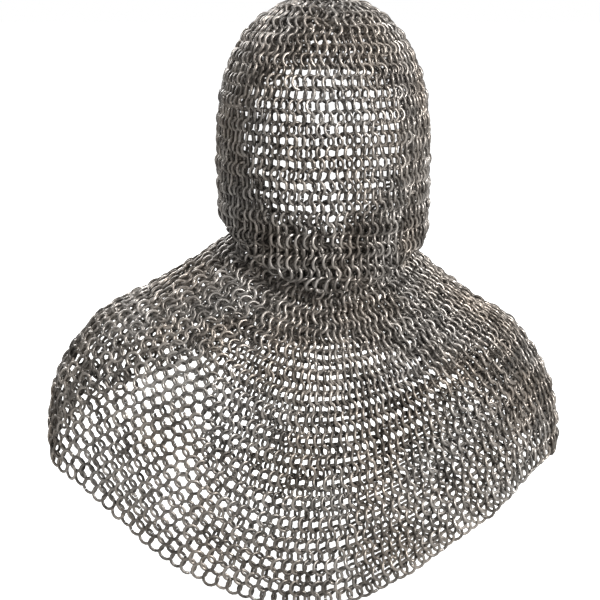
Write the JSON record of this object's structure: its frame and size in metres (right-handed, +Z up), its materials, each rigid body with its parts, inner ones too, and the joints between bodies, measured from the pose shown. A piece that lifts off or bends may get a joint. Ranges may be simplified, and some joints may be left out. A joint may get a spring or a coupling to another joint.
{
  "type": "mail coif",
  "caption": "Hood of linked steel rings with a face opening and a mantle that hangs over the shoulders.",
  "frame": {"origin": "seat on the crown of the wearer's head, on the inside of the mail at the top of the hood", "axes": "+Z up, +Y out through the face opening, +X towards the wearer's right"},
  "size_m": [0.4134, 0.2172, 0.469],
  "materials": {
    "hood_mail": "oiled dark steel rings, worn bright on their edges",
    "fold_mail": "oiled dark steel rings in the shade of the fold",
    "mantle_mail": "oiled dark steel rings, worn bright on their edges",
    "flap_mail": "oiled steel rings, slightly lighter at the hem",
    "ring_steel": "one worn steel ring"
  },
  "bodies": {
    "hood": {"crown_ring": "ring_steel", "crown_disc": "hood_mail", "crown_back_right": "hood_mail", "crown_ear_right": "hood_mail", "crown_cheek_right": "hood_mail", "crown_face_right": "hood_mail", "wall_back_right": "hood_mail", "lip_back_right": "hood_mail", "wall_ear_right": "hood_mail", "lip_ear_right": "hood_mail", "wall_cheek_right": "hood_mail", "lip_cheek_right": "hood_mail", "chin_right": "hood_mail", "crown_back_left": "hood_mail", "crown_ear_left": "hood_mail", "crown_cheek_left": "hood_mail", "crown_face_left": "hood_mail", "wall_back_left": "hood_mail", "lip_back_left": "hood_mail", "wall_ear_left": "hood_mail", "lip_ear_left": "hood_mail", "wall_cheek_left": "hood_mail", "lip_cheek_left": "hood_mail", "chin_left": "hood_mail"},
    "fold": {"fold_back_right": "fold_mail", "fold_front_right": "fold_mail", "fold_back_left": "fold_mail", "fold_front_left": "fold_mail"},
    "mantle": {"collar_back_right": "mantle_mail", "collar_blade_right": "mantle_mail", "collar_shoulder_right": "mantle_mail", "collar_chest_right": "mantle_mail", "collar_back_left": "mantle_mail", "collar_blade_left": "mantle_mail", "collar_shoulder_left": "mantle_mail", "collar_chest_left": "mantle_mail", "yoke_back_right": "mantle_mail", "yoke_blade_right": "mantle_mail", "yoke_shoulder_right": "mantle_mail", "yoke_chest_right": "mantle_mail", "yoke_back_left": "mantle_mail", "yoke_blade_left": "mantle_mail", "yoke_shoulder_left": "mantle_mail", "yoke_chest_left": "mantle_mail", "drape_blade_right": "mantle_mail", "drape_shoulder_right": "mantle_mail", "drape_blade_left": "mantle_mail", "drape_shoulder_left": "mantle_mail"},
    "back_flap": {"back_flap_right": "flap_mail", "back_flap_left": "flap_mail"},
    "front_flap": {"front_flap_right": "flap_mail", "front_flap_left": "flap_mail"}
  },
  "joints": [
    {"name": "neck_turn", "type": "hinge", "parent": "hood", "child": "fold", "pos_m": [0, -0.006, -0.2], "axis": [0, 0, 1], "range_deg": [-18, 18]},
    {"name": "neck_tip", "type": "hinge", "parent": "fold", "child": "mantle", "pos_m": [0, -0.006, -0.2], "axis": [1, 0, 0], "range_deg": [-7, 0]},
    {"name": "back_lift", "type": "hinge", "parent": "mantle", "child": "back_flap", "pos_m": [-0.0186, -0.107, -0.3], "axis": [-1, 0, 0], "range_deg": [0, 25]},
    {"name": "front_lift", "type": "hinge", "parent": "mantle", "child": "front_flap", "pos_m": [-0.0186, 0.0785, -0.258], "axis": [1, 0, 0], "range_deg": [0, 25]}
  ]
}
